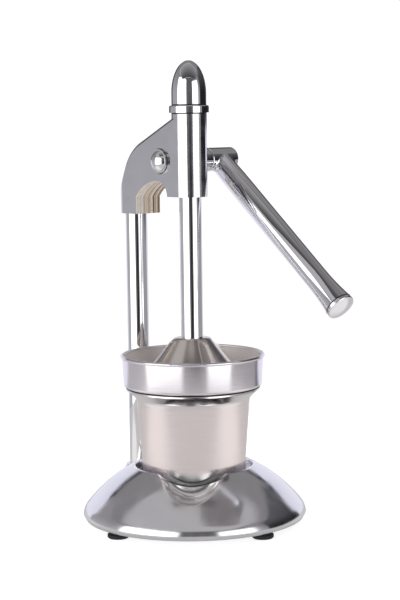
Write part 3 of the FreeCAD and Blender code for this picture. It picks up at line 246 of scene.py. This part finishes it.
def add_studio():
    # low paper sweep close behind the press, and the dim wall behind it
    standing_card("sweep", 180, 0.46, 1.24, -0.01, 0.34,
                  (0.88, 0.87, 0.99), (0.80, 0.80, 0.92), 0.05)
    standing_card("wall_back", 180, 5.0, 13.8, -2.0, 3.9,
                  (0.07, 0.07, 0.08), (0.07, 0.07, 0.08), 0.0)
    # walls beside the camera, grey on the left and dark on the right
    standing_card("wall_left", -108, 4.4, 5.0, -2.0, 3.0,
                  (0.52, 0.51, 0.54), (0.28, 0.27, 0.285), 0.04)
    standing_card("flag_right", 109, 4.0, 4.8, -0.1, 3.5,
                  (0.012, 0.012, 0.014), (0.10, 0.10, 0.11), 0.06)
    # the dark side of the room, behind the camera, with a black patch low down
    standing_card("flag_camera", 3, 5.4, 9.6, -2.0, 3.9,
                  (0.13, 0.13, 0.14), (0.12, 0.12, 0.12), 0.0)
    standing_card("camera_patch", 6, 5.2, 1.6, -1.4, 0.6,
                  (0.01, 0.01, 0.012), (0.02, 0.02, 0.022), 0.25)
    # two soft boxes in front, and a pale ceiling card over the camera's side
    lamp_foot, lamp_head = (1.9, 1.9, 1.9), (1.7, 1.7, 1.7)
    standing_card("softbox_left", -49, 4.0, 5.4, -1.8, 2.9, lamp_foot, lamp_head, 0.07)
    standing_card("softbox_right", 44, 4.2, 3.4, -1.8, 2.4, lamp_foot, lamp_head, 0.09)
    pale = (0.47, 0.46, 0.47)
    level_card("ceiling_card", (-4.6, 3.4), (-4.9, 0.9), 3.5, 3.5, pale, pale, 0.12)
    # light that the table throws up at both sides
    paper = (0.92, 0.89, 0.88)
    lying_card("pool_left", -80, 0.10, 0.56, 0.30, paper)
    lying_card("pool_right", 76, 0.10, 0.56, 0.30, paper)
    # small flags close over the cap and over the lever
    level_card("flag_cap", (-0.13, 0.13), (-0.13, 0.01), 0.455, 0.48,
               (0.07, 0.07, 0.075), (0.34, 0.34, 0.35), 0.08)
    shade = (0.21, 0.195, 0.205)
    level_card("flag_lever", (0.05, 0.42), (-0.40, 0.10), 0.62, 0.62, shade, shade, 0.2)


# ---- floor ------------------------------------------------------------------------------
TABLE_RADIUS = 0.58
SHADE = (0.09, 0.14)          # painted shade: the table, as the metal sees it, grows brighter between these distances from the axis
SHADE_STRENGTH = (0.52, 0.60)


def add_floor():
    mesh = bpy.data.meshes.new("floor")
    bm = bmesh.new()
    bmesh.ops.create_circle(bm, cap_ends=True, segments=96, radius=TABLE_RADIUS)
    bm.to_mesh(mesh)
    bm.free()
    floor = bpy.data.objects.new("floor", mesh)
    scene.collection.objects.link(floor)
    material, tree = new_material("floor")
    out = tree.nodes.new("ShaderNodeOutputMaterial")
    # what the metal sees of the table: a glowing white sheet, with painted shade under the base
    sheet = tree.nodes.new("ShaderNodeEmission")
    sheet.inputs["Color"].default_value = (1, 0.97, 0.98, 1)
    radius = vector_maths(tree, "DISTANCE", coordinates(tree, "Object"), (0, 0, 0))
    tree.links.new(spread(tree, radius, *SHADE_STRENGTH, *SHADE, "SMOOTHSTEP"),
                   sheet.inputs["Strength"])
    # what the camera sees: an even, nearly white top that still takes the base's shadow
    plain = tree.nodes.new("ShaderNodeBsdfPrincipled")
    plain.inputs["Base Color"].default_value = (0.93, 0.93, 0.93, 1)
    plain.inputs["Roughness"].default_value = 0.9
    plain.inputs["Specular IOR Level"].default_value = 0.0
    plain.inputs["Emission Color"].default_value = (1, 1, 1, 1)
    plain.inputs["Emission Strength"].default_value = 0.72
    by_ray(tree, sheet, plain, out)
    mesh.materials.append(material)


add_camera()
add_world()
add_studio()
add_floor()
scene.view_settings.view_transform = "Standard"
scene.view_settings.look = "None"


# ---- masks ------------------------------------------------------------------------------
def object_noise(tree, scale, detail=2.0, stretch=(1, 1, 1)):
    mapping = tree.nodes.new("ShaderNodeMapping")
    mapping.inputs["Scale"].default_value = stretch
    tree.links.new(coordinates(tree, "Object"), mapping.inputs["Vector"])
    noise = tree.nodes.new("ShaderNodeTexNoise")
    noise.inputs["Scale"].default_value = scale
    noise.inputs["Detail"].default_value = detail
    tree.links.new(mapping.outputs[0], noise.inputs["Vector"])
    return noise.outputs["Fac"]


def along(tree, direction):
    """Distance of the surface point along one direction, in metres."""
    return vector_maths(tree, "DOT_PRODUCT", coordinates(tree, "Object"), direction)


def height(tree):
    return along(tree, (0, 0, 1))


def faces_axis(tree):
    """1 on surfaces that face the press axis, such as the inside of a bowl, and 0 elsewhere."""
    outward = vector_maths(tree, "MULTIPLY", coordinates(tree, "Object"), (1, 1, 0))
    facing = vector_maths(tree, "DOT_PRODUCT", outward, coordinates(tree, "Normal"))
    # negative where the normal points to the axis
    return spread(tree, facing, 1.0, 0.0, -0.004, -0.001)


# ---- materials --------------------------------------------------------------------------
TINT = 0.03                   # share by which a metal's colour varies


def relief(tree, shader, bumps, strength, depth):
    bump = tree.nodes.new("ShaderNodeBump")
    bump.inputs["Strength"].default_value = strength
    bump.inputs["Distance"].default_value = depth
    tree.links.new(bumps, bump.inputs["Height"])
    tree.links.new(bump.outputs["Normal"], shader.inputs["Normal"])


def metal(name, colour, rough, grain=None, grain_depth=0.0, wave_depth=0.0, aniso=0.0):
    """Bare or plated metal, with fine variation in colour and gloss and a slight relief.

    grain is the scale and stretch of the lines that brushing leaves, or None for a cast or
    polished surface, which has waves instead.
    """
    material, tree = new_material(name)
    out = tree.nodes.new("ShaderNodeOutputMaterial")
    shader = tree.nodes.new("ShaderNodeBsdfPrincipled")
    shader.inputs["Metallic"].default_value = 1.0
    tree.links.new(shader.outputs[0], out.inputs["Surface"])
    if grain:
        scale, stretch = grain
        tone = gloss = object_noise(tree, scale, 4.0, stretch)
        duller = (0.9, 1.12)
        relief(tree, shader, tone, 0.5, grain_depth)
    else:
        # blotches in the colour, smears in the gloss, and waves of 3 cm or so in the surface
        tone = object_noise(tree, 45.0, 3.0)
        gloss = object_noise(tree, 90.0, 5.0)
        duller = (0.7, 1.4)
        relief(tree, shader, object_noise(tree, 30.0, 1.0), 0.5, wave_depth)
    dark = [c * (1 - TINT) for c in colour]
    pale = [min(1.0, c * (1 + TINT)) for c in colour]
    tree.links.new(colour_ramp(tree, tone, (0.3, dark), (0.7, pale)),
                   shader.inputs["Base Color"])
    tree.links.new(spread(tree, gloss, rough * duller[0], rough * duller[1]),
                   shader.inputs["Roughness"])
    if aniso:
        shader.inputs["Anisotropic"].default_value = aniso
        tangent = tree.nodes.new("ShaderNodeTangent")
        tangent.direction_type = "RADIAL"
        tangent.axis = "Z"
        tree.links.new(tangent.outputs[0], shader.inputs["Tangent"])
    return material


def second_finish(material, mask, colour, rough, metallic=1.0):
    """Where mask is 1, the surface has this colour (a socket or three numbers) and roughness."""
    tree = material.node_tree
    shader = next(node for node in tree.nodes if node.type == "BSDF_PRINCIPLED")
    if not isinstance(colour, bpy.types.NodeSocket):
        colour = (*colour, 1)
    # sockets of the Mix node: the two values and the result, by the kind of data
    for name, value, kind, first, second, result in (("Base Color", colour, "RGBA", 6, 7, 2),
                                                     ("Roughness", rough, "FLOAT", 2, 3, 0)):
        mix = tree.nodes.new("ShaderNodeMix")
        mix.data_type = kind
        tree.links.new(mask, mix.inputs[0])
        tree.links.new(shader.inputs[name].links[0].from_socket, mix.inputs[first])
        feed(tree, value, mix.inputs[second])
        tree.links.new(mix.outputs[result], shader.inputs[name])
    if metallic < 1:
        tree.links.new(spread(tree, mask, 1.0, metallic, 0.0, 1.0), shader.inputs["Metallic"])


def rubber(name):
    material, tree = new_material(name)
    out = tree.nodes.new("ShaderNodeOutputMaterial")
    shader = tree.nodes.new("ShaderNodeBsdfPrincipled")
    tree.links.new(shader.outputs[0], out.inputs["Surface"])
    speck = object_noise(tree, 900.0, 4.0)
    tree.links.new(colour_ramp(tree, speck, (0.0, (0.010, 0.010, 0.011)),
                               (1.0, (0.030, 0.030, 0.032))), shader.inputs["Base Color"])
    tree.links.new(spread(tree, speck, 0.55, 0.8), shader.inputs["Roughness"])
    relief(tree, shader, speck, 0.4, 0.00008)
    return material


CHROME = (0.84, 0.84, 0.86)
LATHE_LINES = (40.0, (1, 1, 60))        # noise scale and stretch: fine lines round the axis
PLATED = 0.000002             # relief depths of waves, in metres
CAST = 0.00003
PAINTED_SHADOW = (0.05, 0.05, 0.055)  # painted shadow: a dark line where shade falls in a joint
SHADOW_LINE_WIDTH = 0.0011
LINE_EDGE = 0.0002            # how softly such a line ends ...
FINE_EDGE = 0.0001            # ... and a fine one

# heights of the cup's finishes, and how softly each ends
CUP_NECK, NECK_EDGE = 0.0135, 0.0015    # smoother, under the rim
CUP_RIM_SHADOW, RIM_SHADOW_EDGE = 0.0010, 0.0003  # painted shadow, where the bowl stands on the rim
CUP_FOOT, FOOT_EDGE = 0.0225, 0.003     # a cooler tone, in and near the seat
BEYOND = 0.001                # a finish that takes in an end of a piece reaches past it


def brushed_cup():
    """Brushed steel, smoother at the drawn neck, with painted shadow at the very top."""
    material = metal("brushed_steel", (0.90, 0.83, 0.82), 0.24, grain=LATHE_LINES,
                     grain_depth=0.0000004, aniso=0.85)
    tree = material.node_tree
    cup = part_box("juice_cup")
    foot, rim = cup[0][2], cup[1][2]
    level = height(tree)
    second_finish(material, window(tree, level, rim - CUP_NECK, rim, NECK_EDGE),
                  (0.84, 0.81, 0.81), 0.15)
    # painted shadow: a dark line in the gap under the bowl's band
    second_finish(material, window(tree, level, rim - CUP_RIM_SHADOW, rim + BEYOND, RIM_SHADOW_EDGE),
                  (0.07, 0.06, 0.06), 0.5)
    lower = spread(tree, level, 1.0, 0.0, foot + CUP_FOOT - FOOT_EDGE,
                   foot + CUP_FOOT + FOOT_EDGE)
    second_finish(material, lower, (0.72, 0.73, 0.735), 0.24)
    return material


def spun_bowl():
    """Spun steel, duller inside, and paler inside with painted light."""
    material = metal("bowl_steel", (0.84, 0.81, 0.84), 0.17, grain=LATHE_LINES,
                     grain_depth=0.000001, aniso=0.3)
    # inside: a duller finish, and a paler colour that is painted light
    second_finish(material, faces_axis(material.node_tree), (1.0, 0.97, 0.955), 0.42)
    return material


CAP_RING_HEIGHT = 0.0115      # from the cap's foot to its ring's top


def cap_with_painted_shadow():
    """Top cap's chrome, with a painted shadow line where the dome meets its ring."""
    material = metal("cap_chrome", CHROME, 0.04, wave_depth=PLATED)
    tree = material.node_tree
    ring_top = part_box("top_cap")[0][2] + CAP_RING_HEIGHT
    # painted shadow where the dome meets its ring
    line = window(tree, height(tree), ring_top, ring_top + SHADOW_LINE_WIDTH, LINE_EDGE)
    second_finish(material, line, PAINTED_SHADOW, 0.3)
    return material


LEVER_DIP = 39.2              # degrees below the level, at rest
PLUG_GROOVE = (0.0063, 0.0053)          # its two sides, measured from the plug's outer end


def plug_with_painted_shadow():
    """The lever's end plug, with a painted shadow line behind its rim."""
    material = metal("plug_chrome", (0.84, 0.84, 0.87), 0.10, wave_depth=PLATED)
    tree = material.node_tree
    dip = math.radians(LEVER_DIP)
    lever = Vector((0, -math.cos(dip), -math.sin(dip)))
    end = max(v.co.dot(lever) for v in nodes["lever_end_plug"].data.vertices)
    # painted shadow behind the plug's rim
    line = window(tree, along(tree, lever), end - PLUG_GROOVE[0], end - PLUG_GROOVE[1], FINE_EDGE)
    second_finish(material, line, PAINTED_SHADOW, 0.4)
    return material


ARCH_FRONT = 0.0142           # the arch runs from the tube's back ...
ARCH_DEPTH = 0.0158           # ... to the leg's inner face, this far before the column's axis
ARCH_BELOW_SHAFT = 0.0163
STREAK_SCALE = 380.0          # noise scale, across the arch only
PAINTED_LIGHT_SLOPE = -5.0            # per metre along X: painted light, paler towards the nut's side
NUT_LINE = (-0.0005, 0.0006)  # the two sides of the ring of painted shadow, from the nut's flange


def milled_head():
    """The head's cast chrome, with the upright cutter marks left inside its arch, toned with
    painted reflection, and painted shade lines.
    """
    material = metal("head_chrome", (0.80, 0.80, 0.83), 0.11, wave_depth=CAST)
    tree = material.node_tree
    place = split(tree, coordinates(tree, "Object"))
    facing = split(tree, coordinates(tree, "Normal"))

    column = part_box("column")
    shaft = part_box("pinion_shaft")
    leg_face = (column[0][1] + column[1][1]) / 2 - ARCH_DEPTH
    arch_top = (shaft[0][2] + shaft[1][2]) / 2 - ARCH_BELOW_SHAFT
    # the arch's faces: they look neither left nor right, and lie between tube and leg
    arch = product(tree, window(tree, facing["X"], -0.5, 0.5, 0.1),
                   window(tree, place["Y"], ARCH_FRONT, leg_face, FINE_EDGE),
                   spread(tree, place["Z"], 1.0, 0.0, arch_top, arch_top + 0.0003))
    streaks = maths(tree, "MULTIPLY_ADD", place["X"], PAINTED_LIGHT_SLOPE,
                    object_noise(tree, STREAK_SCALE, 2.0, (1, 0, 0)))
    # the cutter marks are real; their cream highlights and brown lines are painted reflection
    painted_reflection_tones = colour_ramp(tree, streaks, (0.38, (0.08, 0.055, 0.04)), (0.56, (1.0, 0.96, 0.90)),
                        (0.46, (0.78, 0.62, 0.44)))
    second_finish(material, arch, painted_reflection_tones, 0.40, metallic=0.1)

    # painted shadow in the joint under the cap
    head_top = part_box("head_casting")[1][2]
    joint = window(tree, place["Z"], head_top - SHADOW_LINE_WIDTH, head_top + BEYOND, LINE_EDGE)
    second_finish(material, joint, PAINTED_SHADOW, 0.3)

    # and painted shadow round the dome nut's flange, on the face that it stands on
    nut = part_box("shaft_cap_nut")
    middle = Vector((0, (nut[0][1] + nut[1][1]) / 2, (nut[0][2] + nut[1][2]) / 2))
    flange = (nut[1][1] - nut[0][1]) / 2
    flat = vector_maths(tree, "MULTIPLY", coordinates(tree, "Object"), (0, 1, 1))
    from_nut = vector_maths(tree, "DISTANCE", flat, middle)
    ring = product(tree, window(tree, from_nut, flange + NUT_LINE[0], flange + NUT_LINE[1],
                                LINE_EDGE),
                   spread(tree, facing["X"], 1.0, 0.0, -0.9, -0.8))
    second_finish(material, ring, (0.12, 0.12, 0.13), 0.3)

    # painted shade: a darker, glossier band along the web's rounded top edge, which looks up and
    # to the nut's side
    edge = product(tree, window(tree, facing["Z"], 0.22, 0.55, 0.05),
                   spread(tree, facing["X"], 1.0, 0.0, -0.75, -0.65))
    second_finish(material, edge, (0.30, 0.29, 0.31), 0.15)
    return material


NOTCH_MIDDLE = (-0.03961, -0.04507, 0.036)
NOTCH_REACH = 0.030           # the notch's hollow lies within this distance of its middle ...
NOTCH_SOFT = 0.006            # ... and its finish fades out over this much on both sides
NOTCH_TURN = -44.0            # degrees, from -Y towards -X
NOTCH_ROUNDING = 0.0022       # radius of its polished edge
WALL_EDGE_RADIUS = 0.049      # the wall between cup and notch has this round, hollow top edge
WALL_EDGE_CENTRE = 0.0896     # height of the round's centre
WALL_LINE = (-0.0004, 0.0008)           # the two sides of the painted shadow line, from that radius


def base_chrome():
    """Cast chrome, a little duller in the hollow of the notch, with a rounded notch edge."""
    material = metal("base_chrome", (0.82, 0.82, 0.84), 0.14, wave_depth=CAST)
    tree = material.node_tree
    from_notch = vector_maths(tree, "DISTANCE", coordinates(tree, "Object"), NOTCH_MIDDLE)
    hollow = spread(tree, from_notch, 1.0, 0.0, NOTCH_REACH - NOTCH_SOFT,
                    NOTCH_REACH + NOTCH_SOFT)
    second_finish(material, hollow, (0.84, 0.83, 0.83), 0.18)
    # painted shadow on the wall's top edge, close to the cup: an arc in the plane across the
    # notch
    across = Matrix.Rotation(math.radians(NOTCH_TURN), 3, "Z") @ Vector((1, 0, 0))
    upright = tree.nodes.new("ShaderNodeCombineXYZ")
    tree.links.new(along(tree, across), upright.inputs["X"])
    tree.links.new(height(tree), upright.inputs["Z"])
    from_centre = vector_maths(tree, "DISTANCE", upright.outputs[0], (0, 0, WALL_EDGE_CENTRE))
    line = window(tree, from_centre, WALL_EDGE_RADIUS + WALL_LINE[0],
                  WALL_EDGE_RADIUS + WALL_LINE[1], FINE_EDGE)
    second_finish(material, product(tree, hollow, line), PAINTED_SHADOW, 0.8, metallic=0.0)
    rounding = tree.nodes.new("ShaderNodeBevel")
    rounding.samples = 6
    rounding.inputs["Radius"].default_value = NOTCH_ROUNDING
    bump = next(node for node in tree.nodes if node.type == "BUMP")
    tree.links.new(rounding.outputs["Normal"], bump.inputs["Normal"])
    return material


chrome = metal("polished_chrome", CHROME, 0.04, wave_depth=PLATED)
satin = metal("satin_steel", (0.84, 0.78, 0.73), 0.20, grain=LATHE_LINES, grain_depth=0.000003,
              aniso=0.3)
zinc = metal("zinc_plate", (0.62, 0.63, 0.65), 0.25, wave_depth=CAST)
bronze = metal("sintered_bronze", (0.60, 0.42, 0.22), 0.38, grain=(1500.0, (1, 1, 1)),
               grain_depth=0.00003)
black_rubber = rubber("black_rubber")

FINISH = {
    "base_casting": base_chrome(), "head_casting": milled_head(), "top_cap": cap_with_painted_shadow(),
    "lever_end_plug": plug_with_painted_shadow(), "juice_cup": brushed_cup(), "strainer_bowl": spun_bowl(),
}
for finish, names in (
        (chrome, ("column", "shaft_housing", "shaft_cap_nut", "lever_washer", "lever_arm",
                  "rack_rod")),
        (satin, ("presser", "strainer_cone")),
        (bronze, ("lower_guide_bush", "upper_guide_bush", "left_shaft_bush",
                  "right_shaft_bush")),
        (black_rubber, ("foot_front", "foot_right", "foot_rear", "foot_left"))):
    FINISH.update((name, finish) for name in names)

for name, node in nodes.items():
    finish = FINISH.get(name, zinc)         # screws, washers and the pieces inside
    if not node.data.materials:
        node.data.materials.append(finish)
    for i in range(len(node.data.materials)):
        node.data.materials[i] = finish
